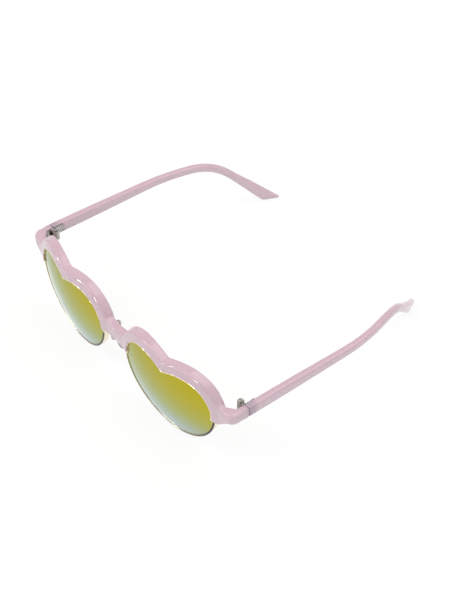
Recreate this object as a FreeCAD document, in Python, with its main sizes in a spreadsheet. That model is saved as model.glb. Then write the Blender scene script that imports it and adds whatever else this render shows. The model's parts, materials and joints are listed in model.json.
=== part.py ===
import FreeCAD, Part
import math
import os

# Heart shaped browline sunglasses lying open on a table.
# Millimetres, +Z up, the front faces -Y, the temples run to +Y and the wearer's left eye is at +X.

# Driving sizes, lengths in millimetres and angles in degrees
driving_sizes = [
    # the front as a whole
    ("lens_gap", 15.7),
    ("end_reach", 9.05),
    ("rest_setback", 68.37),
    ("wrap_angle", 5.5),
    ("lens_tilt", 4.4),
    # heart outline, measured to the outside of the metal rim
    ("lobe_radius", 14.95),
    ("lobe_offset", 12.1),
    ("notch_depth", 3.0),
    ("heart_drop", 26.9),
    # lens and rim
    ("lens_curve", 86.0),
    ("lens_thick", 1.8),
    ("lens_in_groove", 0.4),
    ("groove_play", 0.03),
    ("rim_wall", 0.9),
    ("rim_front", 0.3),
    ("rim_back", 2.1),
    ("rim_flange", 2.1),
    # rim closing block and its screw
    ("block_drop", 1.2),
    ("block_width", 2.2),
    ("block_height", 2.2),
    ("block_back", 4.6),
    ("block_split", 0.2),
    ("closing_screw_radius", 0.5),
    ("closing_head_radius", 0.95),
    ("closing_head_height", 0.6),
    # plastic brow
    ("brow_band", 2.6),
    ("brow_lip", 1.6),
    ("brow_front", 1.0),
    ("brow_back", 3.5),
    ("temporal_end_drop", 3.0),
    ("nasal_end_drop", 1.4),
    ("seat_play", 0.05),
    ("outer_notch_round", 3.0),
    ("brow_front_round", 0.9),
    ("brow_back_round", 0.5),
    # bridge of the brow
    ("bridge_height", 6.8),
    ("bridge_level", 8.3),
    ("bridge_flare", 2.0),
    ("bridge_lap", 0.65),
    ("bridge_front", 1.0),
    ("bridge_depth", 4.2),
    ("bridge_round", 0.9),
    # end pieces of the brow and the joint with the temples
    ("joint_setback", 16.3),
    ("temple_rise", 10.75),
    ("end_height", 5.75),
    ("end_front", 6.5),
    ("end_depth", 3.1),
    ("end_outer_round", 4.2),
    ("end_inner_round", 2.9),
    ("end_lap", 0.95),
    ("end_corner_gap", 0.3),
    ("end_blend_rise", 2.4),
    ("gusset_rise", 0.3),
    ("gusset_round", 0.8),
    # tabs that tie the rim to the brow, and their screws
    ("tab_width", 2.8),
    ("tab_thick", 0.8),
    ("tab_sink", 1.35),
    ("tab_reach", 1.9),
    ("brow_screw_radius", 0.5),
    ("brow_screw_length", 2.8),
    ("brow_head_radius", 0.8),
    ("brow_head_height", 0.55),
    # temple
    ("temple_thick", 3.5),
    ("temple_waist_thick", 3.2),
    ("temple_tip_thick", 3.2),
    ("temple_waist_height", 3.9),
    ("temple_tip_height", 6.2),
    ("temple_edge_round", 1.1),
    ("tip_end_bevel", 0.4),
    ("temple_straight", 77.9),
    ("temple_fall", 2.8),
    ("ear_bend_radius", 27.6),
    ("ear_bend_angle", 45.4),
    ("inward_start", 53.5),
    ("inward_shift", 19.9),
    # barrel hinge
    ("hinge_plate_thick", 0.8),
    ("front_plate_length", 3.6),
    ("hinge_plate_length", 5.4),
    ("hinge_plate_height", 4.0),
    ("hinge_plate_proud", 0.2),
    ("hinge_plate_gap", 0.1),
    ("knuckle_radius", 1.5),
    ("knuckle_height", 1.6),
    ("knuckle_gap", 0.05),
    ("knuckle_standoff", 0.3),
    ("hinge_screw_radius", 0.6),
    ("hinge_screw_play", 0.05),
    ("hinge_head_radius", 1.15),
    ("hinge_head_height", 0.6),
    ("slot_width", 0.35),
    ("slot_depth", 0.3),
    # nose pads, their arms and screws
    ("pad_inset", 2.35),
    ("pad_setback", 11.2),
    ("pad_drop", 8.6),
    ("pad_splay", 28.0),
    ("pad_flare", 12.0),
    ("pad_length", 13.0),
    ("pad_width", 7.2),
    ("pad_thick", 2.8),
    ("core_length", 8.6),
    ("core_width", 4.0),
    ("core_thick", 0.8),
    ("lug_length", 3.0),
    ("lug_width", 1.2),
    ("lug_height", 1.8),
    ("pad_box_length", 2.2),
    ("pad_box_wall", 0.5),
    ("pad_box_height", 2.6),
    ("pad_box_standoff", 0.5),
    ("pad_box_play", 0.1),
    ("pad_screw_radius", 0.4),
    ("pad_screw_play", 0.04),
    ("pad_screw_head_radius", 0.7),
    ("pad_screw_head_height", 0.4),
    ("arm_radius", 0.55),
    ("arm_root_drop", -1.5),
    ("arm_heel_reach", 3.4),
    ("arm_heel_rise", 0.6),
    ("arm_reach", 4.9),
    ("arm_bow", 2.6),
    ("arm_rise", 3.8),
    ("arm_over_pad", 1.5),
]

doc = FreeCAD.newDocument("heart_sunglasses")
sheet = doc.addObject("Spreadsheet::Sheet", "Sizes")


def add_size(row, name, value):
    value_cell = "B%d" % row
    sheet.set("A%d" % row, name)
    sheet.set(value_cell, repr(float(value)))
    sheet.setAlias(value_cell, name)


for row, (name, value) in enumerate(driving_sizes, start=1):
    add_size(row, name, value)
doc.recompute()


def size(name):
    return float(sheet.get(name))


vec = FreeCAD.Vector
origin = vec(0, 0, 0)
axis_x = vec(1, 0, 0)
axis_y = vec(0, 1, 0)
axis_z = vec(0, 0, 1)
quarter_turn = 90.0
half_share = 0.5
flank_pull_share = 0.57
tip_pull_share = 0.50
nodes = {}


# Shared helpers
def keep(label, item):
    item.Label = label
    nodes[label] = item
    return item


def feature(label, shape):
    item = doc.addObject("Part::Feature", label)
    item.Shape = shape
    return keep(label, item)


def mirrored(label, source):
    twin = doc.addObject("Part::Mirroring", label)
    twin.Source = source
    twin.Normal = axis_x
    twin.Base = origin
    return keep(label, twin)


def block(name, sizes_xyz, base):
    item = doc.addObject("Part::Box", name)
    for side, expression in zip(("Length", "Width", "Height"), sizes_xyz):
        item.setExpression(side, expression)
    for side, expression in zip("xyz", base):
        item.setExpression("Placement.Base." + side, expression)
    return item


def drum(name, radius, height, base):
    item = doc.addObject("Part::Cylinder", name)
    item.setExpression("Radius", radius)
    item.setExpression("Height", height)
    for side, expression in zip("xyz", base):
        item.setExpression("Placement.Base." + side, expression)
    return item


def joined(name, items):
    item = doc.addObject("Part::MultiFuse", name)
    item.Shapes = items
    item.Refine = True
    return item


def cut_from(name, base, tool):
    item = doc.addObject("Part::Cut", name)
    item.Base = base
    item.Tool = tool
    return item


# Heart outline in the plane of one lens, its box centre at zero
lobe_radius = size("lobe_radius")
lobe_offset = size("lobe_offset")
heart_drop = size("heart_drop")
notch_depth = size("notch_depth")
half_width = lobe_offset + lobe_radius
lobe_level = (heart_drop - lobe_radius) * half_share
shoulder_radius = (lobe_offset**2 + notch_depth**2) * half_share / notch_depth


def arc(first, middle, last):
    return Part.Arc(first, middle, last).toShape()


def heart_edges(inset):
    lobe = lobe_radius - inset
    shoulder = shoulder_radius - inset
    drop = heart_drop - inset
    reach = lobe_offset + lobe
    shoulder_level = lobe_level + lobe_radius - shoulder_radius
    notch_level = shoulder_level + math.sqrt(shoulder**2 - lobe_offset**2)
    notch_turn = math.asin(lobe_offset / shoulder)
    edges = []
    for side in (-1, 1):
        notch = vec(0, notch_level, 0)
        mid_turn = notch_turn * half_share
        shoulder_mid = vec(side * (lobe_offset - shoulder * math.sin(mid_turn)),
                           shoulder_level + shoulder * math.cos(mid_turn), 0)
        lobe_top = vec(side * lobe_offset, lobe_level + lobe, 0)
        corner_turn = math.radians(quarter_turn * half_share)
        lobe_mid = vec(side * (lobe_offset + lobe * math.sin(corner_turn)),
                       lobe_level + lobe * math.cos(corner_turn), 0)
        lobe_side = vec(side * reach, lobe_level, 0)
        edges.append(arc(notch, shoulder_mid, lobe_top))
        edges.append(arc(lobe_top, lobe_mid, lobe_side))
    bottom = vec(0, lobe_level - drop, 0)
    for side in (-1, 1):
        flank = vec(side * reach, lobe_level, 0)
        under = Part.BezierCurve()
        under.setPoles([flank, flank - axis_y * (flank_pull_share * drop),
                        bottom + axis_x * (side * tip_pull_share * reach), bottom])
        edges.append(under.toShape())
    return edges


lens_curve = size("lens_curve")
curve_centre = vec(0, 0, -lens_curve)
prism_reach = lens_curve * half_share


def heart_prism(inset):
    outline = Part.Wire(Part.__sortEdges__(heart_edges(inset)))
    plate = Part.Face(outline)
    plate.translate(vec(0, 0, -prism_reach))
    return plate.extrude(vec(0, 0, prism_reach * 2))


def ball(ahead):
    return Part.makeSphere(lens_curve + ahead, curve_centre, -axis_y)


def shell(ahead, behind):
    return ball(ahead).cut(ball(-behind))


def slab(low, high):
    item = Part.makeBox(high.x - low.x, high.y - low.y, high.z - low.z)
    item.translate(low)
    return item


# Where the brow ends beside the nose and at the temple
nasal_end = lobe_level - size("nasal_end_drop")
temporal_end = lobe_level - size("temporal_end_drop")
below_ends = [slab(vec(-prism_reach, -prism_reach, -prism_reach), vec(0, nasal_end, prism_reach)),
              slab(vec(0, -prism_reach, -prism_reach), vec(prism_reach, temporal_end, prism_reach))]

# Rim of one lens: a split metal wire with a groove, a flange at the brow's lip, a closing block and two tabs
rim_wall = size("rim_wall")
rim_front = size("rim_front")
rim_back = size("rim_back")
brow_back = size("brow_back")
lens_inset = rim_wall - size("lens_in_groove")
split_level = lobe_level - size("block_drop")
split_half = size("block_split") * half_share
block_out = half_width - size("seat_play")
block_in = block_out - size("block_width")
tab_half = size("tab_width") * half_share
tab_level = lobe_level + lobe_radius
tab_root = tab_level - rim_wall * half_share
wall_middle = (size("lens_thick") + size("groove_play") + rim_back) * half_share
tab_front = brow_back - size("tab_sink")
tab_back = tab_front + size("tab_thick")


def groove_shape():
    play = size("groove_play")
    return heart_prism(lens_inset - play).common(shell(play, size("lens_thick") + play))


def rim_shape():
    ring = heart_prism(0).cut(heart_prism(rim_wall)).common(shell(rim_front, rim_back))
    flange = heart_prism(0).cut(heart_prism(size("rim_flange"))).cut(below_ends)
    flange = flange.common(shell(rim_front, -size("groove_play")))
    block_low = split_level - size("block_height")
    block_high = split_level + size("block_height")
    closing = slab(vec(block_in, block_low, -prism_reach), vec(block_out, block_high, prism_reach))
    within_rim = heart_prism(size("seat_play"))
    closing = closing.common(within_rim).common(shell(-wall_middle, size("block_back")))
    tabs = []
    for side in (-1, 1):
        centre = side * lobe_offset
        reach = slab(vec(centre - tab_half, tab_root, -prism_reach),
                     vec(centre + tab_half, tab_level + size("tab_reach"), prism_reach))
        foot = slab(vec(centre - tab_half, tab_root, -prism_reach),
                    vec(centre + tab_half, tab_level, prism_reach))
        foot = foot.common(within_rim).common(shell(-wall_middle, tab_back))
        tabs.append(reach.common(shell(-tab_front, tab_back)))
        tabs.append(foot)
    split = slab(vec(0, split_level - split_half, -prism_reach),
                 vec(half_width + prism_reach, split_level + split_half, prism_reach))
    whole = ring.fuse([flange, closing] + tabs).removeSplitter()
    return whole.cut(groove_shape()).cut(split)


lens_blank = heart_prism(lens_inset).common(shell(0, size("lens_thick")))
rim_blank = rim_shape()

# Stand the lenses at their wrap and tilt, with the rims on the table
eye_turn = FreeCAD.Rotation(axis_z, size("wrap_angle")).multiply(
    FreeCAD.Rotation(axis_x, quarter_turn + size("lens_tilt")))
gap_x = size("lens_gap") * half_share
eye_x = gap_x + half_width
side_x = eye_x + half_width + size("end_reach")
front_y = -size("rest_setback")
trial = rim_blank.copy()
trial.Placement = FreeCAD.Placement(vec(eye_x, 0, 0), eye_turn)
eye_level = -trial.optimalBoundingBox(False, False).ZMin
for name, value in (("eye_level", eye_level), ("side_x", side_x)):
    row += 1
    add_size(row, name, value)
doc.recompute()
eye_place = FreeCAD.Placement(vec(eye_x, front_y, eye_level), eye_turn)


def stood(shape):
    moved = shape.copy()
    moved.Placement = eye_place.multiply(moved.Placement)
    return moved


def flipped(shape):
    return shape.mirror(origin, axis_x)


# Bores for the screws that pass through the rim
def closing_screw_bore(radius, low, high):
    centre = vec((block_in + block_out) * half_share, low, 0)
    sag = math.sqrt(lens_curve**2 - centre.x**2 - split_level**2) - lens_curve
    centre.z = sag - (rim_back + size("block_back")) * half_share
    return Part.makeCylinder(radius, high - low, centre, axis_y)


def brow_screw_bore(radius, side, ahead, behind):
    spot = vec(side * lobe_offset, tab_level + size("tab_reach") * half_share, 0)
    spot.z = math.sqrt((lens_curve - tab_back)**2 - spot.x**2 - spot.y**2) - lens_curve
    outward = (spot - curve_centre).normalize()
    return Part.makeCylinder(radius, behind + ahead, spot - outward * behind, outward)


block_height = size("block_height")
closing_bore = closing_screw_bore(size("closing_screw_radius"), split_level - block_height,
                                  split_level + block_height)
tie_length = size("brow_screw_length")
tie_head = size("brow_head_height")
tie_holes = [brow_screw_bore(size("brow_screw_radius"), side, tie_length, tie_head) for side in (-1, 1)]
rim_left = feature("rim_left", stood(rim_blank.cut([closing_bore] + tie_holes)))
mirrored("rim_right", rim_left)
lens_left = feature("lens_left", stood(lens_blank))
mirrored("lens_right", lens_left)

# Closing screws of the rims, head down
closing_screw = closing_bore.fuse(closing_screw_bore(
    size("closing_head_radius"), split_level - block_height - size("closing_head_height"),
    split_level - block_height)).removeSplitter()
closing_screw_left = feature("closing_screw_left", stood(closing_screw))
mirrored("closing_screw_right", closing_screw_left)

# Screws that tie the rim tabs to the brow, one group of four
ties = []
for side in (-1, 1):
    shank = brow_screw_bore(size("brow_screw_radius"), side, tie_length, 0)
    head = brow_screw_bore(size("brow_head_radius"), side, 0, tie_head)
    tie = stood(shank.fuse(head).removeSplitter())
    ties.append(tie)
    ties.append(flipped(tie))
feature("brow_screws", Part.makeCompound(ties))

# Brow bar over one lens
band = heart_prism(-size("brow_band"))
notch_edges = [edge for edge in band.Edges
               if all(abs(vertex.X) < rim_wall * half_share and vertex.Y > 0 for vertex in edge.Vertexes)]
band = band.makeFillet(size("outer_notch_round"), notch_edges)


def edges_on_ball(shape, ahead):
    def on_ball(spot):
        return abs((spot - curve_centre).Length - lens_curve - ahead) < size("seat_play")

    return [edge for edge in shape.Edges
            if all(on_ball(edge.valueAt(at)) for at in edge.ParameterRange)]


bar = band.common(shell(size("brow_front"), brow_back))
bar = bar.makeFillet(size("brow_front_round"), edges_on_ball(bar, size("brow_front")))
bar = bar.makeFillet(size("brow_back_round"), edges_on_ball(bar, -brow_back))
bar = stood(bar.cut(below_ends))

# Bridge, drawn from the front and given its depth
bridge_mid = eye_level + size("bridge_level")
bridge_half = size("bridge_height") * half_share
span = gap_x + size("bridge_lap")
flare = size("bridge_flare")
bridge_front = front_y + size("bridge_front")
bridge_top = arc(vec(-span, bridge_front, bridge_mid + bridge_half + flare),
                 vec(0, bridge_front, bridge_mid + bridge_half),
                 vec(span, bridge_front, bridge_mid + bridge_half + flare))
bridge_under = arc(vec(-span, bridge_front, bridge_mid - bridge_half - flare * half_share),
                   vec(0, bridge_front, bridge_mid - bridge_half),
                   vec(span, bridge_front, bridge_mid - bridge_half - flare * half_share))
bridge_sides = [Part.makeLine(bridge_top.Vertexes[k].Point, bridge_under.Vertexes[k].Point) for k in (0, 1)]
bridge_face = Part.Face(Part.Wire(Part.__sortEdges__([bridge_top, bridge_under] + bridge_sides)))
bridge = bridge_face.extrude(vec(0, size("bridge_depth"), 0))
bridge_arcs = [edge for edge in bridge.Edges if isinstance(edge.Curve, Part.Circle)]
bridge = bridge.makeFillet(size("bridge_round"), bridge_arcs)

# End piece: the front view outline shared with the plan view outline
joint_y = front_y + size("joint_setback")
temple_thick = size("temple_thick")
inner_x = side_x - temple_thick
temple_level = eye_level + size("temple_rise")
end_half = size("end_height") * half_share
end_root = eye_x + half_width - size("end_lap")
end_low = eye_level + temporal_end
inner_round = size("end_inner_round")
outer_round = size("end_outer_round")
corner_start = min(inner_x - inner_round, side_x - outer_round) - size("end_corner_gap")
end_top = temple_level + end_half
end_under = temple_level - end_half
blend_top = end_top + size("end_blend_rise")


def blend_curve(level, root_level):
    run = corner_start - end_root
    curve = Part.BezierCurve()
    curve.setPoles([vec(corner_start, front_y, level),
                    vec(corner_start - run * half_share, front_y, level),
                    vec(end_root, front_y, (level + root_level) * half_share),
                    vec(end_root, front_y, root_level)])
    return curve.toShape()


corners = [vec(corner_start, front_y, end_top), vec(side_x, front_y, end_top),
           vec(side_x, front_y, end_under), vec(corner_start, front_y, end_under)]
front_lines = [Part.makeLine(one, two) for one, two in zip(corners[:-1], corners[1:])]
front_lines.append(Part.makeLine(vec(end_root, front_y, end_low), vec(end_root, front_y, blend_top)))
blends = [blend_curve(end_top, blend_top), blend_curve(end_under, end_low)]
front_face = Part.Face(Part.Wire(Part.__sortEdges__(front_lines + blends)))
end_front_view = front_face.extrude(vec(0, size("joint_setback"), 0))

end_front = front_y + size("end_front")
end_back = end_front + size("end_depth")
diagonal_share = 1 - math.sqrt(half_share)
plan_edges = [
    Part.makeLine(vec(end_root, end_front, 0), vec(side_x - outer_round, end_front, 0)),
    arc(vec(side_x - outer_round, end_front, 0),
        vec(side_x - outer_round * diagonal_share, end_front + outer_round * diagonal_share, 0),
        vec(side_x, end_front + outer_round, 0)),
    Part.makeLine(vec(side_x, end_front + outer_round, 0), vec(side_x, joint_y, 0)),
    Part.makeLine(vec(side_x, joint_y, 0), vec(inner_x, joint_y, 0)),
    Part.makeLine(vec(inner_x, joint_y, 0), vec(inner_x, end_back + inner_round, 0)),
    arc(vec(inner_x, end_back + inner_round, 0),
        vec(inner_x - inner_round * diagonal_share, end_back + inner_round * diagonal_share, 0),
        vec(inner_x - inner_round, end_back, 0)),
    Part.makeLine(vec(inner_x - inner_round, end_back, 0), vec(end_root, end_back, 0)),
    Part.makeLine(vec(end_root, end_back, 0), vec(end_root, end_front, 0)),
]
plan_face = Part.Face(Part.Wire(Part.__sortEdges__(plan_edges)))
end_plan_view = plan_face.extrude(vec(0, 0, blend_top + lobe_radius))
end_piece = end_front_view.common(end_plan_view).removeSplitter()


def on_end_rail(edge):
    spots = [edge.valueAt(at) for at in edge.ParameterRange]
    hair = size("seat_play")
    at_root = all(spot.x < end_root + hair for spot in spots)
    at_joint = all(spot.y > joint_y - hair for spot in spots)
    upright = abs(spots[0].x - spots[1].x) < hair and abs(spots[0].y - spots[1].y) < hair
    across = abs(spots[0].x - spots[1].x) < hair and spots[0].x < inner_x - hair
    return not (at_root or at_joint or upright or across)


end_piece = end_piece.makeFillet(size("temple_edge_round"), [e for e in end_piece.Edges if on_end_rail(e)])


# The hinge leaves are let into the inner faces of the end piece and the temple
def leaf_pocket(start, finish):
    plate_half = size("hinge_plate_height") * half_share
    plate_face = inner_x - size("hinge_plate_proud")
    return slab(vec(plate_face, start, temple_level - plate_half),
                vec(plate_face + size("hinge_plate_thick"), finish, temple_level + plate_half))


end_piece = end_piece.cut(leaf_pocket(joint_y - size("front_plate_length"), joint_y))

# Gusset that carries the underside of the end piece down to the temporal end of the bar
bar_reach = half_width + size("brow_band")
bar_sag = math.sqrt(lens_curve**2 - bar_reach**2 - temporal_end**2) - lens_curve
bar_tip = eye_place.multVec(vec(bar_reach, temporal_end, bar_sag))
gusset_out = side_x - outer_round * half_share
gusset_top = end_under + size("temple_edge_round")
gusset_low = bar_tip.z + size("gusset_rise")
gusset_spots = [vec(end_root, end_front, gusset_low), vec(bar_tip.x, end_front, gusset_low),
                vec(gusset_out, end_front, gusset_top), vec(end_root, end_front, gusset_top)]
gusset = Part.Face(Part.makePolygon(gusset_spots + gusset_spots[:1])).extrude(vec(0, size("end_depth"), 0))
gusset = gusset.common(end_plan_view)


def on_gusset_slope(edge):
    first, last = [edge.valueAt(at) for at in edge.ParameterRange]
    hair = size("seat_play")
    return abs(first.z - last.z) > hair and abs(first.x - last.x) > hair


gusset = gusset.makeFillet(size("gusset_round"), [e for e in gusset.Edges if on_gusset_slope(e)])

# The brow in one piece, opened for the lenses and rebated for the rims
seat = heart_prism(-size("seat_play")).common(ball(rim_front + size("seat_play")))
opening = stood(heart_prism(size("brow_lip")).fuse(seat))
tab_play = size("seat_play")
tab_pockets = []
for side in (-1, 1):
    centre = side * lobe_offset
    pocket = slab(vec(centre - tab_half - tab_play, tab_level - rim_wall, -prism_reach),
                  vec(centre + tab_half + tab_play, tab_level + size("tab_reach") + tab_play, prism_reach))
    tab_pockets.append(pocket.common(ball(tab_play - tab_front)))
cuts = [opening] + [stood(cut) for cut in tab_pockets + tie_holes]
brow = bar.fuse([flipped(bar), bridge, end_piece, flipped(end_piece), gusset, flipped(gusset)])
brow = brow.cut(cuts + [flipped(cut) for cut in cuts])
feature("brow_front", brow.removeSplitter())


# Temple: rounded sections joined along the side, the ear bend and the flared tip
def temple_section(centre, out, rise, height, thick):
    half_high = height * half_share
    half_thick = thick * half_share
    corner = min(size("temple_edge_round"), min(half_thick, half_high) * (1 - diagonal_share))
    corner_inset = diagonal_share * corner

    def spot(x, z):
        return centre + out * x + rise * z

    edges = []
    signs = [(1, 1), (-1, 1), (-1, -1), (1, -1)]
    for (sx, sz), (nx, nz) in zip(signs, signs[1:] + signs[:1]):
        upright = sx == nx
        start = spot(sx * half_thick, sz * (half_high - corner))
        finish = spot(sx * (half_thick - corner), sz * half_high)
        bend = spot(sx * (half_thick - corner_inset), sz * (half_high - corner_inset))
        turn = arc(finish, bend, start) if upright else arc(start, bend, finish)
        edges.append(turn)
        if upright:
            edges.append(Part.makeLine(start, spot(nx * half_thick, nz * (half_high - corner))))
        else:
            edges.append(Part.makeLine(finish, spot(nx * (half_thick - corner), nz * half_high)))
    return Part.Wire(Part.__sortEdges__(edges))


temple_straight = size("temple_straight")
bend_radius = size("ear_bend_radius")
bend_angle = math.radians(size("ear_bend_angle"))
bend_run = bend_radius * bend_angle
waist_high = size("temple_waist_height")
waist_thick = size("temple_waist_thick")
tip_high = size("temple_tip_height")
tip_thick = size("temple_tip_thick")
end_height = size("end_height")
plate_run = size("hinge_plate_length")
inward_y = joint_y + size("inward_start")
inward_shift = size("inward_shift")
section_count = 19
straight_fall = temple_straight * math.tan(math.radians(size("temple_fall")))
bend_end_y = joint_y + temple_straight + bend_radius * math.sin(bend_angle)
bend_end_level = temple_level - straight_fall - bend_radius * (1 - math.cos(bend_angle))
tip_run = bend_end_level / math.sin(bend_angle)
whole_run = temple_straight + bend_run + tip_run + tip_high
inward_run = bend_end_y + tip_run * math.cos(bend_angle) - inward_y


def held(share):
    return min(max(share, 0), 1)


def eased(share):
    return (1 - math.cos(math.pi * held(share))) * half_share


def path_point(run):
    straight_run = min(run, temple_straight)
    past = max(run - temple_straight - bend_run, 0)
    turn = held((run - temple_straight) / bend_run) * bend_angle
    y = joint_y + straight_run + bend_radius * math.sin(turn) + past * math.cos(turn)
    lower = straight_fall * straight_run / temple_straight
    z = temple_level - lower - bend_radius * (1 - math.cos(turn)) - past * math.sin(turn)
    inward_share = max(y - inward_y, 0) / inward_run
    x = side_x - temple_thick * half_share - inward_shift * inward_share**2
    heading = math.atan(inward_shift * inward_share / inward_run)
    return vec(x, y, z), turn, heading


temple_wires = []
for number in range(section_count):
    run = whole_run * number / (section_count - 1)
    centre, turn, heading = path_point(run)
    thinning = eased((run - plate_run) / (temple_straight - plate_run))
    flaring = eased((run - temple_straight - bend_run) / tip_run)
    high = end_height + (waist_high - end_height) * thinning + (tip_high - waist_high) * flaring
    thick = temple_thick + (waist_thick - temple_thick) * thinning + (tip_thick - waist_thick) * flaring
    out = vec(math.cos(heading), math.sin(heading), 0)
    along = vec(-math.sin(heading) * math.cos(turn), math.cos(heading) * math.cos(turn), -math.sin(turn))
    temple_wires.append(temple_section(centre, out, out.cross(along), high, thick))

# The tip runs on below the table and is cut off flat, so that the temple stands on it
temple = Part.makeLoft(temple_wires, True, False)
temple = temple.common(slab(vec(0, joint_y, 0), vec(side_x * 2, joint_y + whole_run, end_top * 2)))
sole_edges = [edge for edge in temple.Edges
              if all(abs(vertex.Z) < size("seat_play") for vertex in edge.Vertexes)]
temple = temple.makeChamfer(size("tip_end_bevel"), sole_edges)
temple = temple.cut(leaf_pocket(joint_y, joint_y + size("hinge_plate_gap") + plate_run))
temple_left = feature("temple_left", temple)
mirrored("temple_right", temple_left)

# Barrel hinge: two knuckles on the front leaf, one on the temple leaf, one screw
plate_x = "Sizes.side_x - Sizes.temple_thick - Sizes.hinge_plate_proud"
hinge_x = plate_x + " - Sizes.knuckle_standoff - Sizes.knuckle_radius"
hinge_y = "Sizes.joint_setback - Sizes.rest_setback"
hinge_z = "Sizes.eye_level + Sizes.temple_rise"
plate_z = hinge_z + " - Sizes.hinge_plate_height / 2"
web_length = "Sizes.knuckle_standoff + Sizes.knuckle_radius + Sizes.hinge_plate_proud"
web_sizes = (web_length, "Sizes.knuckle_radius", "Sizes.knuckle_height")
middle_z = hinge_z + " - Sizes.knuckle_height / 2"
upper_z = middle_z + " + Sizes.knuckle_height + Sizes.knuckle_gap"
lower_z = middle_z + " - Sizes.knuckle_height - Sizes.knuckle_gap"
stack_height = "3 * Sizes.knuckle_height + 2 * Sizes.knuckle_gap"
bore_radius = "Sizes.hinge_screw_radius + Sizes.hinge_screw_play"

front_plate = block("front_leaf_plate",
                    ("Sizes.hinge_plate_thick", "Sizes.front_plate_length", "Sizes.hinge_plate_height"),
                    (plate_x, hinge_y + " - Sizes.front_plate_length", plate_z))
front_pieces = [front_plate]
for place, level in (("upper", upper_z), ("lower", lower_z)):
    front_pieces.append(drum("front_knuckle_" + place, "Sizes.knuckle_radius", "Sizes.knuckle_height",
                             (hinge_x, hinge_y, level)))
    front_pieces.append(block("front_web_" + place, web_sizes,
                              (hinge_x, hinge_y + " - Sizes.knuckle_radius", level)))
front_leaf = joined("front_leaf", front_pieces)
front_bore = drum("front_leaf_bore", bore_radius, stack_height, (hinge_x, hinge_y, lower_z))
hinge_front_left = keep("hinge_front_left", cut_from("hinge_front_left", front_leaf, front_bore))
mirrored("hinge_front_right", hinge_front_left)

temple_plate = block("temple_leaf_plate",
                     ("Sizes.hinge_plate_thick", "Sizes.hinge_plate_length", "Sizes.hinge_plate_height"),
                     (plate_x, hinge_y + " + Sizes.hinge_plate_gap", plate_z))
temple_knuckle = drum("temple_knuckle", "Sizes.knuckle_radius", "Sizes.knuckle_height",
                      (hinge_x, hinge_y, middle_z))
temple_web = block("temple_web", web_sizes, (hinge_x, hinge_y + " + Sizes.hinge_plate_gap", middle_z))
temple_leaf = joined("temple_leaf", [temple_plate, temple_knuckle, temple_web])
temple_bore = drum("temple_leaf_bore", bore_radius, "Sizes.knuckle_height", (hinge_x, hinge_y, middle_z))
hinge_temple_left = keep("hinge_temple_left", cut_from("hinge_temple_left", temple_leaf, temple_bore))
mirrored("hinge_temple_right", hinge_temple_left)

screw_top = upper_z + " + Sizes.knuckle_height"
shank = drum("hinge_shank", "Sizes.hinge_screw_radius", stack_height, (hinge_x, hinge_y, lower_z))
head = drum("hinge_head", "Sizes.hinge_head_radius", "Sizes.hinge_head_height", (hinge_x, hinge_y, screw_top))
slot = block("hinge_slot", ("2 * Sizes.hinge_head_radius", "Sizes.slot_width", "Sizes.slot_depth"),
             (hinge_x + " - Sizes.hinge_head_radius", hinge_y + " - Sizes.slot_width / 2",
              screw_top + " + Sizes.hinge_head_height - Sizes.slot_depth"))
screw_blank = joined("hinge_screw_blank", [shank, head])
hinge_screw_left = keep("hinge_screw_left", cut_from("hinge_screw_left", screw_blank, slot))
mirrored("hinge_screw_right", hinge_screw_left)

# Nose pad, drawn with its face to +X, its width along Y and its length along Z
pad_length = size("pad_length")
pad_width = size("pad_width")
pad_thick = size("pad_thick")
pad_turn = FreeCAD.Rotation(axis_z, 2 * quarter_turn - size("pad_splay")).multiply(
    FreeCAD.Rotation(axis_y, -size("pad_flare")))
pad_centre = vec(gap_x + size("pad_inset"), front_y + size("pad_setback"), eye_level - size("pad_drop"))
pad_place = FreeCAD.Placement(pad_centre, pad_turn)
box_face = -pad_thick * half_share - size("pad_box_standoff")
pivot_x = box_face - size("pad_box_length") * half_share


def padded(shape):
    moved = shape.copy()
    moved.Placement = pad_place.multiply(moved.Placement)
    return moved


def centred_box(low_x, high_x, width, height):
    return slab(vec(low_x, -width * half_share, -height * half_share),
                vec(high_x, width * half_share, height * half_share))


def oval_pad():
    ball_pad = Part.makeSphere(half_share)
    stretch = FreeCAD.Matrix()
    stretch.scale(pad_thick, pad_width, pad_length)
    return ball_pad.transformGeometry(stretch)


core_plate = centred_box(-size("core_thick") * half_share, size("core_thick") * half_share,
                         size("core_width"), size("core_length"))
lug = centred_box(-size("core_thick") * half_share - size("lug_length"), 0,
                  size("lug_width"), size("lug_height"))
core = core_plate.fuse(lug).removeSplitter()
screw_reach = size("lug_width") + 2 * (size("pad_box_play") + size("pad_box_wall"))


def cross_pin(radius, length, start):
    return Part.makeCylinder(radius, length, vec(pivot_x, start, 0), axis_y)


lug_bore = cross_pin(size("pad_screw_radius") + size("pad_screw_play"), screw_reach,
                     -screw_reach * half_share)
nose_pad_left = feature("nose_pad_left", padded(oval_pad().cut(core)))
mirrored("nose_pad_right", nose_pad_left)
pad_core_left = feature("pad_core_left", padded(core.cut(lug_bore)))
mirrored("pad_core_right", pad_core_left)
pad_screw = cross_pin(size("pad_screw_radius"), screw_reach, -screw_reach * half_share).fuse(
    cross_pin(size("pad_screw_head_radius"), size("pad_screw_head_height"), screw_reach * half_share))
pad_screw_left = feature("pad_screw_left", padded(pad_screw.removeSplitter()))
mirrored("pad_screw_right", pad_screw_left)

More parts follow.
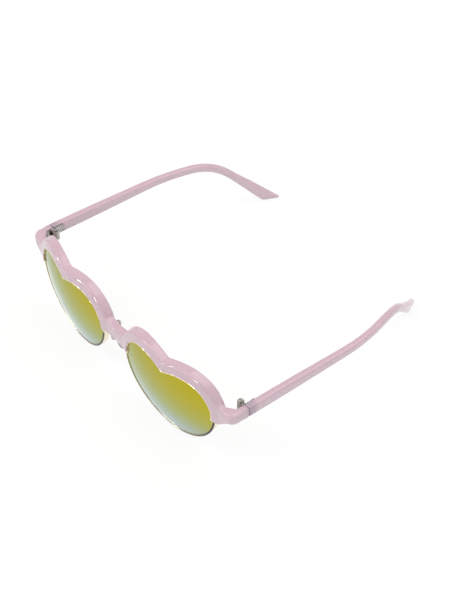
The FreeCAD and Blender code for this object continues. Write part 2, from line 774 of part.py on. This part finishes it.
# Pad arm: a bent wire from the back of the rim to the box that holds the pad
box_outer = screw_reach
box_back = box_face - size("pad_box_length") - size("pad_box_wall")
pad_box = centred_box(box_back, box_face, box_outer, size("pad_box_height"))
pad_box = pad_box.cut(centred_box(box_back + size("pad_box_wall"), box_face,
                                  size("lug_width") + 2 * size("pad_box_play"), size("pad_box_height")))
pad_box = padded(pad_box.cut(cross_pin(size("pad_screw_radius"), screw_reach, -screw_reach * half_share)))
root_v = -size("arm_root_drop")
root_u = -(half_width - rim_wall * half_share) * math.sqrt(1 - ((lobe_level - root_v) / heart_drop)**2)
root_n = math.sqrt(lens_curve**2 - root_u**2 - root_v**2) - lens_curve - rim_back
arm_root = eye_place.multVec(vec(root_u, root_v, root_n + rim_wall * half_share))
arm_heel = arm_root + vec(-size("arm_bow") * half_share, size("arm_heel_reach"), size("arm_heel_rise"))
arm_crest = arm_root + vec(-size("arm_bow"), size("arm_reach"), size("arm_rise"))
arm_shoulder = pad_place.multVec(vec(box_face, 0, pad_length * half_share + size("arm_over_pad")))
arm_end = pad_place.multVec(vec(box_back, 0, 0))
arm_line = Part.BSplineCurve()
arm_line.interpolate([arm_root, arm_heel, arm_crest, arm_shoulder, arm_end])
arm_spine = Part.Wire(arm_line.toShape())
arm_start = arm_line.tangent(arm_line.FirstParameter)[0]
arm_ring = Part.Wire(Part.makeCircle(size("arm_radius"), arm_root, arm_start))
arm_wire = arm_spine.makePipeShell([arm_ring], True, True)
arm_wire = arm_wire.cut([rim_left.Shape, lens_left.Shape]).fuse(pad_box)
pad_arm = max(arm_wire.removeSplitter().Solids, key=lambda solid: solid.Volume)
pad_arm_left = feature("pad_arm_left", pad_arm)
mirrored("pad_arm_right", pad_arm_left)

# Check every piece, then write one file per piece
doc.recompute()
os.makedirs("parts", exist_ok=True)
for label, item in nodes.items():
    shape = item.Shape
    state_bad = any(word in item.State for word in ("Invalid", "Error"))
    if state_bad or shape.isNull() or not shape.isValid():
        raise RuntimeError("piece failed: " + label)
    shape.exportStep("parts/" + label + ".step")
    box = shape.optimalBoundingBox(False, False)
    print("%-20s solids %d volume %.1f  x %.3f %.3f  y %.3f %.3f  z %.3f %.3f" % (
        label, len(shape.Solids), shape.Volume, box.XMin, box.XMax, box.YMin, box.YMax, box.ZMin, box.ZMax))
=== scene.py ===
import bmesh
import bpy
import json
import math
from mathutils import Matrix, Vector


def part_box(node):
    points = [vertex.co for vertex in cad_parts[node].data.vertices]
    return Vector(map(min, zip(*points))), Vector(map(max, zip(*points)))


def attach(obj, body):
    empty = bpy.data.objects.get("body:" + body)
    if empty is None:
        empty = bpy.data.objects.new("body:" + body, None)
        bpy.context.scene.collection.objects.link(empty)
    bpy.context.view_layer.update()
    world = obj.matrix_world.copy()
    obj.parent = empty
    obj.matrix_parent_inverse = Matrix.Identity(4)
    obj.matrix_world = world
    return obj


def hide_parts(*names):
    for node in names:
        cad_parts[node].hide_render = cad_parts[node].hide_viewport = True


# Heart shaped sunglasses lying open on a white table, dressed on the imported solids.
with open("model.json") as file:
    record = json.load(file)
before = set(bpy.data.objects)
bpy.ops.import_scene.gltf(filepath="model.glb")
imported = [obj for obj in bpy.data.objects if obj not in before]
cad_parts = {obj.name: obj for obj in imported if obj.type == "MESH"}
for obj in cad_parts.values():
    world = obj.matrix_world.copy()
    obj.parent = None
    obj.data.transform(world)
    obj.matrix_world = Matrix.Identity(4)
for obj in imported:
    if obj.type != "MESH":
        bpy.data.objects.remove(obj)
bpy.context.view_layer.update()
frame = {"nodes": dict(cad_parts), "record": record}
print("frame:", len(frame["nodes"]), "nodes loaded")

mm = 0.001
mirrorOf = {"left": 1, "right": -1}
bodyOf = {}
for body, nodes in frame["record"]["behaviour"]["bodies"].items():
    bodyOf.update((node, body) for node in nodes)

# A Mix node's colour sockets go by place, because several have the same name
mixA = 6
mixB = 7
mixResult = 2


def hexToLinear(text):
    channels = [int(text[at:at + 2], 16) / 255 for at in (1, 3, 5)]
    linear = [c / 12.92 if c <= 0.04045 else ((c + 0.055) / 1.055) ** 2.4 for c in channels]
    return (*linear, 1.0)


def addNode(tree, kind, settings=None, inputs=None):
    node = tree.nodes.new(kind)
    for name, value in (settings or {}).items():
        setattr(node, name, value)
    for socket, value in (inputs or {}).items():
        if isinstance(value, bpy.types.NodeSocket):
            tree.links.new(value, node.inputs[socket])
        else:
            node.inputs[socket].default_value = value
    return node


def setStops(ramp, stops):
    elements = ramp.color_ramp.elements
    while len(elements) > 1:
        elements.remove(elements[-1])
    elements[0].position, elements[0].color = stops[0]
    for position, colour in stops[1:]:
        elements.new(position).color = colour


def hexStops(stops):
    return [(at, hexToLinear(text)) for at, text in stops]


def greyStops(stops):
    return [(at, (share, share, share, 1)) for at, share in stops]


def newMaterial(name, paint):
    material = bpy.data.materials.new(name)
    material.use_nodes = True
    tree = material.node_tree
    tree.nodes.clear()
    shader = paint(tree)
    addNode(tree, "ShaderNodeOutputMaterial", inputs={"Surface": shader.outputs[0]})
    return material


# Uneven colour shared by most finishes: fine noise that picks a tint
def mottled(tree, place, look):
    noise = addNode(tree, "ShaderNodeTexNoise", inputs={
        "Vector": place, "Scale": 1 / look["mottleSize"], "Detail": look["mottleDetail"]})
    tint = addNode(tree, "ShaderNodeValToRGB", inputs={"Fac": noise.outputs["Fac"]})
    setStops(tint, hexStops(look["tint"]))
    return noise.outputs["Fac"], tint.outputs["Color"]


# Translucent rose polycarbonate, injection moulded and tumble polished: muted pink with painted shade by
# facing, rosier and darker on upward faces and paler and milky on the sides, greyer where a hinge leaf
# shows through it, with a clean soft gloss.
rosePlastic = {
    # Painted shade: the tint runs from the paler sides to the rosier, darker tops by upward facing
    "tint": [(0.1, "#d9c3ce"), (0.5, "#d8bcc8"), (1.0, "#d3b3be")],
    "leaf": "#ab97a3",
    "leafFade": [(0.0, 0.0), (0.32, 0.25), (0.4, 0.85), (0.72, 0.6), (1.0, 0.0)],
    "leafReach": (3.6 * mm, 5.4 * mm),
    "flowSize": 9 * mm,
    "flowDetail": 2,
    "flowShare": 0.3,
    "waveSize": 6 * mm,
    "waveDetail": 1,
    "waveHeight": 0.05 * mm,
    "waveStrength": 0.5,
    "scuffSize": 2.5 * mm,
    "scuffDetail": 3,
    "roughness": (0.08, 0.16),
    "ior": 1.58,
    "clearShare": 0.2,
}


# Where the steel leaves lie behind the plastic, on both sides of the joint
def leafMask(tree, place):
    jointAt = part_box("brow_front")[1].y
    before, after = rosePlastic["leafReach"]
    along = addNode(tree, "ShaderNodeSeparateXYZ", inputs={0: place})
    stretch = addNode(tree, "ShaderNodeMapRange", inputs={
        "Value": along.outputs["Y"], "From Min": jointAt - before, "From Max": jointAt + after})
    mask = addNode(tree, "ShaderNodeValToRGB", inputs={"Fac": stretch.outputs["Result"]})
    setStops(mask, greyStops(rosePlastic["leafFade"]))
    return mask.outputs["Color"]


def rosePlasticShader(tree):
    place = addNode(tree, "ShaderNodeTexCoord").outputs["Object"]
    facing = addNode(tree, "ShaderNodeNewGeometry")
    # Painted shade: the tint follows how far the surface faces up, with a little random flow, so tops are
    # painted rosier and darker than the sides
    rise = addNode(tree, "ShaderNodeSeparateXYZ", inputs={0: facing.outputs["Normal"]})
    flow = addNode(tree, "ShaderNodeTexNoise", inputs={
        "Vector": place, "Scale": 1 / rosePlastic["flowSize"], "Detail": rosePlastic["flowDetail"]})
    flowAndFacingShade = addNode(tree, "ShaderNodeMath", {"operation": "MULTIPLY_ADD"}, {
        0: flow.outputs["Fac"], 1: rosePlastic["flowShare"], 2: rise.outputs["Z"]})
    tint = addNode(tree, "ShaderNodeValToRGB", inputs={"Fac": flowAndFacingShade.outputs[0]})
    setStops(tint, hexStops(rosePlastic["tint"]))
    shade = addNode(tree, "ShaderNodeMix", {"data_type": "RGBA"}, {
        "Factor": leafMask(tree, place), mixA: tint.outputs["Color"],
        mixB: hexToLinear(rosePlastic["leaf"])})

    wave = addNode(tree, "ShaderNodeTexNoise", inputs={
        "Vector": place, "Scale": 1 / rosePlastic["waveSize"], "Detail": rosePlastic["waveDetail"]})
    bump = addNode(tree, "ShaderNodeBump", inputs={
        "Height": wave.outputs["Fac"], "Strength": rosePlastic["waveStrength"],
        "Distance": rosePlastic["waveHeight"]})
    scuff = addNode(tree, "ShaderNodeTexNoise", inputs={
        "Vector": place, "Scale": 1 / rosePlastic["scuffSize"], "Detail": rosePlastic["scuffDetail"]})
    smooth, dull = rosePlastic["roughness"]
    polish = addNode(tree, "ShaderNodeMapRange", inputs={
        "Value": scuff.outputs["Fac"], "To Min": smooth, "To Max": dull})
    return addNode(tree, "ShaderNodeBsdfPrincipled", inputs={
        "Base Color": shade.outputs[mixResult], "Normal": bump.outputs["Normal"],
        "Roughness": polish.outputs["Result"], "IOR": rosePlastic["ior"],
        "Transmission Weight": rosePlastic["clearShare"]})


# Polycarbonate lens with a graded flash coating: an olive yellow mirror at the brow that thins to a
# silver grey at the lower edge and turns green at a slant. The uncoated back shows only the tint.
gradedLens = {
    "tint": [
        (0.04, "#a9ada6"), (0.24, "#a9ad84"), (0.46, "#b0ad2e"), (0.7, "#b7ad00"), (0.95, "#b9ab00")],
    "slantTint": "#cfe4ec",
    "glaze": [(0.1, 1.0), (0.5, 0.9), (0.9, 0.5)],
    "glazeIor": 1.33,
    "glazeRoughness": 0.03,
    "mirrorShare": 0.92,
    "mirrorNormal": 0.1,
    "driftSize": 14 * mm,
    "driftDetail": 1,
    "driftShare": 0.06,
    "roughness": 0.05,
    "ior": 1.58,
    "clearShare": 0.9,
}


def gradedLensShader(tree):
    low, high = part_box("lens_left")
    place = addNode(tree, "ShaderNodeTexCoord").outputs["Object"]
    spot = addNode(tree, "ShaderNodeSeparateXYZ", inputs={0: place})
    climb = addNode(tree, "ShaderNodeMapRange", inputs={
        "Value": spot.outputs["Z"], "From Min": low.z, "From Max": high.z})
    # The coating's edge drifts a little, as a dipped or sputtered film does
    drift = addNode(tree, "ShaderNodeTexNoise", inputs={
        "Vector": place, "Scale": 1 / gradedLens["driftSize"], "Detail": gradedLens["driftDetail"]})
    level = addNode(tree, "ShaderNodeMath", {"operation": "MULTIPLY_ADD"}, {
        0: drift.outputs["Fac"], 1: gradedLens["driftShare"], 2: climb.outputs["Result"]})
    tint = addNode(tree, "ShaderNodeValToRGB", inputs={"Fac": level.outputs[0]})
    setStops(tint, hexStops(gradedLens["tint"]))
    glaze = addNode(tree, "ShaderNodeValToRGB", inputs={"Fac": level.outputs[0]})
    setStops(glaze, greyStops(gradedLens["glaze"]))
    facing = addNode(tree, "ShaderNodeNewGeometry")
    ahead = addNode(tree, "ShaderNodeSeparateXYZ", inputs={0: facing.outputs["Normal"]})
    mirror = addNode(tree, "ShaderNodeMapRange", inputs={
        "Value": ahead.outputs["Y"], "From Min": gradedLens["mirrorNormal"],
        "From Max": -gradedLens["mirrorNormal"], "To Min": 0, "To Max": gradedLens["mirrorShare"]})
    return addNode(tree, "ShaderNodeBsdfPrincipled", inputs={
        "Base Color": tint.outputs["Color"], "Metallic": mirror.outputs["Result"],
        "Specular Tint": hexToLinear(gradedLens["slantTint"]), "Roughness": gradedLens["roughness"],
        "IOR": gradedLens["ior"], "Transmission Weight": gradedLens["clearShare"],
        "Coat Weight": glaze.outputs["Color"], "Coat IOR": gradedLens["glazeIor"],
        "Coat Roughness": gradedLens["glazeRoughness"]})


# Pale gold plate on nickel silver wire, rolled and polished: bright cream with faint drawing streaks, and
# painted shade on the front edge below the brow, near black and not metal, for the shadowed gap between
# lens and rim.
paleGold = {
    "tint": [(0.35, "#eeddbd"), (0.65, "#faf0dc")],
    "mottleSize": 0.8 * mm,
    "mottleDetail": 3,
    "roughness": (0.2, 0.32),
    # Painted shade colour for the rim's front edge below the brow
    "paintedShade": "#2a2624",
    "paintedShadeTop": 24.5 * mm,
    "paintedShadeFade": 1.5 * mm,
    "paintedShadeNormal": (-0.15, -0.5),
}


# Painted shade: the faces of the rim that look ahead, below the brow, where the gap between lens and rim
# lies in shadow
def paintedShadeMask(tree, place):
    facing = addNode(tree, "ShaderNodeNewGeometry")
    ahead = addNode(tree, "ShaderNodeSeparateXYZ", inputs={0: facing.outputs["Normal"]})
    sideways, forward = paleGold["paintedShadeNormal"]
    front = addNode(tree, "ShaderNodeMapRange", inputs={
        "Value": ahead.outputs["Y"], "From Min": sideways, "From Max": forward})
    spot = addNode(tree, "ShaderNodeSeparateXYZ", inputs={0: place})
    below = addNode(tree, "ShaderNodeMapRange", inputs={
        "Value": spot.outputs["Z"], "From Min": paleGold["paintedShadeTop"],
        "From Max": paleGold["paintedShadeTop"] - paleGold["paintedShadeFade"]})
    both = addNode(tree, "ShaderNodeMath", {"operation": "MULTIPLY"}, {
        0: front.outputs["Result"], 1: below.outputs["Result"]})
    return both.outputs[0]


def paleGoldShader(tree):
    place = addNode(tree, "ShaderNodeTexCoord").outputs["Object"]
    streak, tint = mottled(tree, place, paleGold)
    smooth, dull = paleGold["roughness"]
    polish = addNode(tree, "ShaderNodeMapRange", inputs={
        "Value": streak, "To Min": smooth, "To Max": dull})
    # Painted shade: near black, non-metal colour on the masked front faces of the rim
    paintedShadeShare = paintedShadeMask(tree, place)
    shade = addNode(tree, "ShaderNodeMix", {"data_type": "RGBA"}, {
        "Factor": paintedShadeShare, mixA: tint, mixB: hexToLinear(paleGold["paintedShade"])})
    metalShare = addNode(tree, "ShaderNodeMath", {"operation": "SUBTRACT"}, {0: 1, 1: paintedShadeShare})
    return addNode(tree, "ShaderNodeBsdfPrincipled", inputs={
        "Base Color": shade.outputs[mixResult], "Metallic": metalShare.outputs[0],
        "Roughness": polish.outputs["Result"]})


# Stainless steel, stamped and tumbled: random patches of dark and bright tone as a painted reflection of
# dark and bright surroundings, painted shade nearly black in the gaps, finely pitted.
hingeSteel = {
    "tint": [(0.38, "#6f6a67"), (0.62, "#d6d2ce")],
    "mottleSize": 0.35 * mm,
    "mottleDetail": 2,
    # Painted shade colour for gaps and crevices
    "gapShade": "#0f0d0c",
    "gapShadeDepth": 1.8 * mm,
    "pitDepth": 0.03 * mm,
    "pitStrength": 0.4,
    "roughness": 0.24,
}


def hingeSteelShader(tree):
    place = addNode(tree, "ShaderNodeTexCoord").outputs["Object"]
    # Painted reflection: the base colour goes at random between dark and bright, standing in for dark and
    # bright surroundings seen in the steel
    pits, tint = mottled(tree, place, hingeSteel)
    # Painted shade: ambient occlusion darkens the base colour to near black in gaps and crevices
    paintedGapShade = addNode(tree, "ShaderNodeAmbientOcclusion", inputs={"Distance": hingeSteel["gapShadeDepth"]})
    shade = addNode(tree, "ShaderNodeMix", {"data_type": "RGBA"}, {
        "Factor": paintedGapShade.outputs["AO"], mixA: hexToLinear(hingeSteel["gapShade"]), mixB: tint})
    bump = addNode(tree, "ShaderNodeBump", inputs={
        "Height": pits, "Strength": hingeSteel["pitStrength"], "Distance": hingeSteel["pitDepth"]})
    return addNode(tree, "ShaderNodeBsdfPrincipled", inputs={
        "Base Color": shade.outputs[mixResult], "Normal": bump.outputs["Normal"], "Metallic": 1,
        "Roughness": hingeSteel["roughness"]})


# Nickel silver wire and screws, drawn and polished: pale warm grey with faint drawing streaks.
nickelSilver = {
    "tint": [(0.35, "#a29d99"), (0.65, "#c6c2bd")],
    "mottleSize": 0.6 * mm,
    "mottleDetail": 2,
    "roughness": 0.16,
}


def nickelSilverShader(tree):
    place = addNode(tree, "ShaderNodeTexCoord").outputs["Object"]
    _, tint = mottled(tree, place, nickelSilver)
    return addNode(tree, "ShaderNodeBsdfPrincipled", inputs={
        "Base Color": tint, "Metallic": 1, "Roughness": nickelSilver["roughness"]})


# Clear silicone rubber, moulded: milky and soft, dull where skin would touch it.
clearSilicone = {
    "tint": [(0.3, "#e6e3e2"), (0.7, "#f3f0ee")],
    "mottleSize": 3 * mm,
    "mottleDetail": 2,
    "grainSize": 0.5 * mm,
    "grainDetail": 1,
    "grainDepth": 0.02 * mm,
    "grainStrength": 0.2,
    "roughness": 0.38,
    "ior": 1.41,
    "clearShare": 0.7,
    "milkShare": 0.25,
    "milkDepth": 2 * mm,
}


def clearSiliconeShader(tree):
    place = addNode(tree, "ShaderNodeTexCoord").outputs["Object"]
    _, tint = mottled(tree, place, clearSilicone)
    grain = addNode(tree, "ShaderNodeTexNoise", inputs={
        "Vector": place, "Scale": 1 / clearSilicone["grainSize"], "Detail": clearSilicone["grainDetail"]})
    bump = addNode(tree, "ShaderNodeBump", inputs={
        "Height": grain.outputs["Fac"], "Strength": clearSilicone["grainStrength"],
        "Distance": clearSilicone["grainDepth"]})
    return addNode(tree, "ShaderNodeBsdfPrincipled", inputs={
        "Base Color": tint, "Normal": bump.outputs["Normal"], "Roughness": clearSilicone["roughness"],
        "IOR": clearSilicone["ior"], "Transmission Weight": clearSilicone["clearShare"],
        "Subsurface Weight": clearSilicone["milkShare"], "Subsurface Scale": clearSilicone["milkDepth"]})


# Clear polycarbonate, moulded: the hard core that shows through the silicone.
clearCore = {
    "tint": [(0.3, "#dfe2e2"), (0.7, "#eef0f0")],
    "mottleSize": 2 * mm,
    "mottleDetail": 1,
    "roughness": 0.12,
    "ior": 1.58,
    "clearShare": 0.85,
}


def clearCoreShader(tree):
    place = addNode(tree, "ShaderNodeTexCoord").outputs["Object"]
    _, tint = mottled(tree, place, clearCore)
    return addNode(tree, "ShaderNodeBsdfPrincipled", inputs={
        "Base Color": tint, "Roughness": clearCore["roughness"], "IOR": clearCore["ior"],
        "Transmission Weight": clearCore["clearShare"]})


# Finishes by the start of a node's name
finishes = {
    "brow_front": newMaterial("translucentRosePolycarbonate", rosePlasticShader),
    "lens": newMaterial("gradedMirrorPolycarbonate", gradedLensShader),
    "rim": newMaterial("paleGoldPlate", paleGoldShader),
    "hinge": newMaterial("tumbledStainlessSteel", hingeSteelShader),
    "pad_arm": newMaterial("polishedNickelSilver", nickelSilverShader),
    "nose_pad": newMaterial("clearSiliconeRubber", clearSiliconeShader),
    "pad_core": newMaterial("clearPolycarbonate", clearCoreShader),
}
finishes["temple"] = finishes["brow_front"]
for kind in ("closing_screw", "brow_screws", "pad_screw"):
    finishes[kind] = finishes["pad_arm"]


def finishOf(name):
    return next(finishes[kind] for kind in finishes if name.startswith(kind))


for name, node in frame["nodes"].items():
    node.data.materials.clear()
    node.data.materials.append(finishOf(name))
print("materials:", len(bpy.data.materials), "made, all nodes dressed")


def addObject(name, data):
    item = bpy.data.objects.new(name, data)
    bpy.context.scene.collection.objects.link(item)
    return item


def addPiece(name, work, nodeName):
    mesh = bpy.data.meshes.new(name)
    work.to_mesh(mesh)
    work.free()
    mesh.shade_smooth()
    mesh.materials.append(finishOf(nodeName))
    piece = addObject(name, mesh)
    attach(piece, bodyOf[nodeName])
    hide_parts(nodeName)
    return piece


# Moulded plastic: the solids with an even skin and every edge eased, as tumbling leaves them.
# The temple tips and the roots of the end pieces are rubbed rounder than the rest.
moulding = {
    "nodes": ("brow_front", "temple_left", "temple_right"),
    "mergeGap": 0.002 * mm,
    "voxel": 0.24 * mm,
    "rounds": 11,
    "rubbedRounds": 36,
    "rubShare": 0.5,
    "rootFrom": 59.5 * mm,
    "buttKeep": 2.5 * mm,
    "tipReach": 12 * mm,
}

# Web in the inner corner of each end piece, between the back of the bar and the arm
cornerWeb = {
    "plan": ((67.7 * mm, -55.6 * mm), (67.7 * mm, -59 * mm), (63.3 * mm, -59 * mm)),
    "low": 28.7 * mm,
    "high": 34.2 * mm,
}


def mergedCopy(nodeName):
    work = bmesh.new()
    work.from_mesh(frame["nodes"][nodeName].data)
    bmesh.ops.remove_doubles(work, verts=work.verts, dist=moulding["mergeGap"])
    return work


def addCornerWebs(work):
    low, high = cornerWeb["low"], cornerWeb["high"]
    for mirror in mirrorOf.values():
        corners = [work.verts.new((mirror * across, back, low)) for across, back in cornerWeb["plan"]]
        floor = bmesh.ops.contextual_create(work, geom=corners)["faces"]
        lifted = bmesh.ops.extrude_face_region(work, geom=floor, use_keep_orig=True)["geom"]
        raised = [item for item in lifted if isinstance(item, bmesh.types.BMVert)]
        bmesh.ops.translate(work, vec=(0, 0, high - low), verts=raised)


def evenSkin(work):
    mesh = bpy.data.meshes.new("skinBlank")
    work.to_mesh(mesh)
    blank = addObject("skinBlank", mesh)
    skin = blank.modifiers.new("evenSkin", "REMESH")
    skin.mode = "VOXEL"
    skin.voxel_size = moulding["voxel"]
    evaluated = blank.evaluated_get(bpy.context.evaluated_depsgraph_get())
    shaped = bpy.data.meshes.new_from_object(evaluated)
    work.clear()
    work.from_mesh(shaped)
    bpy.data.objects.remove(blank)
    bpy.data.meshes.remove(mesh)
    bpy.data.meshes.remove(shaped)


def rub(work, verts, rounds):
    for _ in range(rounds):
        bmesh.ops.smooth_vert(
            work, verts=verts, factor=moulding["rubShare"],
            use_axis_x=True, use_axis_y=True, use_axis_z=True)


def rubbedVerts(work, nodeName):
    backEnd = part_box(nodeName)[1].y
    if nodeName == "brow_front":
        buttFrom = backEnd - moulding["buttKeep"]
        return [v for v in work.verts if abs(v.co.x) > moulding["rootFrom"] and v.co.y < buttFrom]
    tipFrom = backEnd - moulding["tipReach"]
    return [v for v in work.verts if v.co.y > tipFrom]


def makeMoulding(nodeName):
    work = mergedCopy(nodeName)
    if nodeName == "brow_front":
        addCornerWebs(work)
    evenSkin(work)
    rub(work, work.verts[:], moulding["rounds"])
    rub(work, rubbedVerts(work, nodeName), moulding["rubbedRounds"])
    addPiece(nodeName + "_moulded", work, nodeName)


for nodeName in moulding["nodes"]:
    makeMoulding(nodeName)
print("plastic:", len(moulding["nodes"]), "moulded pieces")

# Bead of pale gold that closes the seam between each lens and the brow's lip. It follows the heart:
# a flat shoulder arc from the notch to each lobe's top, then the lobe itself.
rimBead = {
    "radius": 0.16 * mm,
    "inset": 1.76 * mm,
    "ahead": 0.6 * mm,
    "lobeRadius": 14.95 * mm,
    "lobeOffset": 12.1 * mm,
    "lobeLevel": 5.975 * mm,
    "notchDepth": 3 * mm,
    "lensCurve": 86 * mm,
    "eyeSpot": (34.9 * mm, -68.37 * mm, 20.69 * mm),
    "wrap": 5.5,
    "tilt": 4.4,
    "endTurn": 74,
    "stepCount": 20,
    "bevelSteps": 4,
}


def beadArc(radius, level, firstTurn, lastTurn):
    steps = rimBead["stepCount"]
    for step in range(steps + 1):
        turn = firstTurn + (lastTurn - firstTurn) * step / steps
        yield (rimBead["lobeOffset"] + radius * math.sin(turn), level + radius * math.cos(turn))


def beadOutline():
    offset, level, lobe = rimBead["lobeOffset"], rimBead["lobeLevel"], rimBead["lobeRadius"]
    shoulder = (offset ** 2 + rimBead["notchDepth"] ** 2) / 2 / rimBead["notchDepth"]
    shoulderLine = shoulder - rimBead["inset"]
    notchTurn = -math.asin(offset / shoulderLine)
    half = list(beadArc(shoulderLine, level + lobe - shoulder, notchTurn, 0))
    half += list(beadArc(lobe - rimBead["inset"], level, 0, math.radians(rimBead["endTurn"])))[1:]
    return [(-across, rise) for across, rise in reversed(half)] + half[1:]


# The left lens as it stands in the front, turned out by the wrap and leaned by the tilt
def beadStand():
    wrap = Matrix.Rotation(math.radians(rimBead["wrap"]), 4, "Z")
    lean = Matrix.Rotation(math.radians(90 + rimBead["tilt"]), 4, "X")
    return Matrix.Translation(rimBead["eyeSpot"]) @ wrap @ lean


def makeRimBead(side):
    name = "rim_bead_" + side
    data = bpy.data.curves.new(name, "CURVE")
    data.dimensions = "3D"
    data.bevel_depth = rimBead["radius"]
    data.bevel_resolution = rimBead["bevelSteps"]
    data.use_fill_caps = True
    outline = beadOutline()
    stand = beadStand()
    ball = rimBead["lensCurve"] + rimBead["ahead"]
    line = data.splines.new("POLY")
    line.points.add(len(outline) - 1)
    for point, (across, rise) in zip(line.points, outline):
        depth = math.sqrt(ball ** 2 - across ** 2 - rise ** 2) - rimBead["lensCurve"]
        place = stand @ Vector((across, rise, depth))
        point.co = (mirrorOf[side] * place.x, place.y, place.z, 1)
    data.materials.append(finishes["rim"])
    bead = addObject(name, data)
    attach(bead, "front")


for side in mirrorOf:
    makeRimBead(side)
print("rims:", len(mirrorOf), "beads")

# Soft nose pads: a drop shape, flatter on the skin side and narrower at the top
nosePad = {
    "thick": 2.8 * mm,
    "width": 7.2 * mm,
    "length": 13 * mm,
    "splay": 28,
    "flare": 12,
    "flatShare": 0.45,
    "taperShare": 0.16,
    "ringCount": 32,
    "spokeCount": 48,
}


def makeNosePad(side):
    nodeName = "nose_pad_" + side
    pad = bmesh.new()
    # A ball of diameter 1, shaped first and then brought to size
    bmesh.ops.create_uvsphere(
        pad, u_segments=nosePad["spokeCount"], v_segments=nosePad["ringCount"], radius=0.5)
    for vert in pad.verts:
        vert.co.y *= 1 - nosePad["taperShare"] * (vert.co.z + 0.5)
        if vert.co.x > 0:
            vert.co.x *= 1 - nosePad["flatShare"]
    bmesh.ops.scale(pad, vec=(nosePad["thick"], nosePad["width"], nosePad["length"]), verts=pad.verts)
    splay = Matrix.Rotation(math.radians(180 - nosePad["splay"]), 4, "Z")
    flare = Matrix.Rotation(math.radians(-nosePad["flare"]), 4, "Y")
    bmesh.ops.transform(pad, matrix=splay @ flare, verts=pad.verts)
    bmesh.ops.scale(pad, vec=(mirrorOf[side], 1, 1), verts=pad.verts)
    low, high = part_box(nodeName)
    bmesh.ops.translate(pad, vec=(low + high) / 2, verts=pad.verts)
    bmesh.ops.recalc_face_normals(pad, faces=pad.faces)
    piece = addPiece(nodeName + "_soft", pad, nodeName)


for side in mirrorOf:
    makeNosePad(side)
print("nose pads:", len(mirrorOf), "soft pads")

# Camera where the photograph was taken from
cameraPlace = {
    "spot": (321.77 * mm, -274.24 * mm, 437.62 * mm),
    "azimuth": 50.16,
    "elevation": 45.56,
    "roll": 0.4,
    "focal": 78.544,
}


def makeCamera():
    data = bpy.data.cameras.new("photoCamera")
    data.lens = cameraPlace["focal"]
    camera = addObject("photoCamera", data)
    turn = Matrix.Rotation(math.radians(cameraPlace["azimuth"]), 4, "Z")
    pitch = Matrix.Rotation(math.radians(90 - cameraPlace["elevation"]), 4, "X")
    roll = Matrix.Rotation(math.radians(cameraPlace["roll"]), 4, "Z")
    camera.matrix_world = Matrix.Translation(cameraPlace["spot"]) @ turn @ pitch @ roll
    bpy.context.scene.camera = camera


# White table and a soft tent of light
studio = {
    "floorHalf": 3.0,
    "floorColour": "#f6f5f4",
    "glow": 0.85,
    "tentColour": "#ffffff",
    "tentLight": 0.75,
    "tentSeen": 1.0,
}

# Soft key and top lamps, and two strips that show only as streaks in the gloss
strip = {"size": (0.07, 0.24), "power": 3.5, "diffuse": False}
lamps = (
    {"name": "keyLamp", "spot": (-0.25, -0.55, 0.85), "size": (0.6, 0.6), "power": 3.2, "diffuse": True},
    {"name": "topLamp", "spot": (0.15, 0.35, 0.9), "size": (0.8, 0.8), "power": 3.0, "diffuse": True},
    {"name": "rightStrip", "spot": (0.2, -0.9, 0.38), **strip},
    {"name": "leftStrip", "spot": (-0.54, -0.69, 0.43), **strip},
)


# 1 for what the camera sees, straight, in a reflection or through a clear piece
def seenRays(tree):
    path = addNode(tree, "ShaderNodeLightPath")
    first = addNode(tree, "ShaderNodeMath", {"operation": "MAXIMUM"}, {
        0: path.outputs["Is Camera Ray"], 1: path.outputs["Is Glossy Ray"]})
    both = addNode(tree, "ShaderNodeMath", {"operation": "MAXIMUM"}, {
        0: first.outputs[0], 1: path.outputs["Is Transmission Ray"]})
    return both.outputs[0]


# White table laminate, matt, which shows brighter than its own shading as an overexposed table does
def tableShader(tree):
    matt = addNode(tree, "ShaderNodeBsdfDiffuse", inputs={"Color": hexToLinear(studio["floorColour"])})
    glow = addNode(tree, "ShaderNodeEmission")
    share = addNode(tree, "ShaderNodeMath", {"operation": "MULTIPLY"}, {
        0: seenRays(tree), 1: studio["glow"]})
    return addNode(tree, "ShaderNodeMixShader", inputs={
        0: share.outputs[0], 1: matt.outputs["BSDF"], 2: glow.outputs["Emission"]})


def makeFloor():
    work = bmesh.new()
    bmesh.ops.create_grid(work, x_segments=1, y_segments=1, size=studio["floorHalf"])
    mesh = bpy.data.meshes.new("tableTop")
    work.to_mesh(mesh)
    work.free()
    mesh.materials.append(newMaterial("whiteTableLaminate", tableShader))
    floor = addObject("tableTop", mesh)


def makeLamp(lamp):
    data = bpy.data.lights.new(lamp["name"], "AREA")
    data.shape = "RECTANGLE"
    data.size, data.size_y = lamp["size"]
    data.energy = lamp["power"]
    item = addObject(lamp["name"], data)
    turn = (-Vector(lamp["spot"])).to_track_quat("-Z", "Y").to_matrix().to_4x4()
    item.matrix_world = Matrix.Translation(lamp["spot"]) @ turn
    item.visible_diffuse = lamp["diffuse"]


def makeWorld():
    world = bpy.data.worlds.new("lightTent")
    bpy.context.scene.world = world
    world.use_nodes = True
    tree = world.node_tree
    tree.nodes.clear()
    level = addNode(tree, "ShaderNodeMapRange", inputs={
        "Value": seenRays(tree), "To Min": studio["tentLight"], "To Max": studio["tentSeen"]})
    light = addNode(tree, "ShaderNodeBackground", inputs={
        "Color": hexToLinear(studio["tentColour"]), "Strength": level.outputs["Result"]})
    addNode(tree, "ShaderNodeOutputWorld", inputs={"Surface": light.outputs["Background"]})


makeCamera()
makeFloor()
makeWorld()
for lamp in lamps:
    makeLamp(lamp)
bpy.context.scene.view_settings.view_transform = "Standard"
print("stage: camera, table and", len(lamps), "lamps ready")
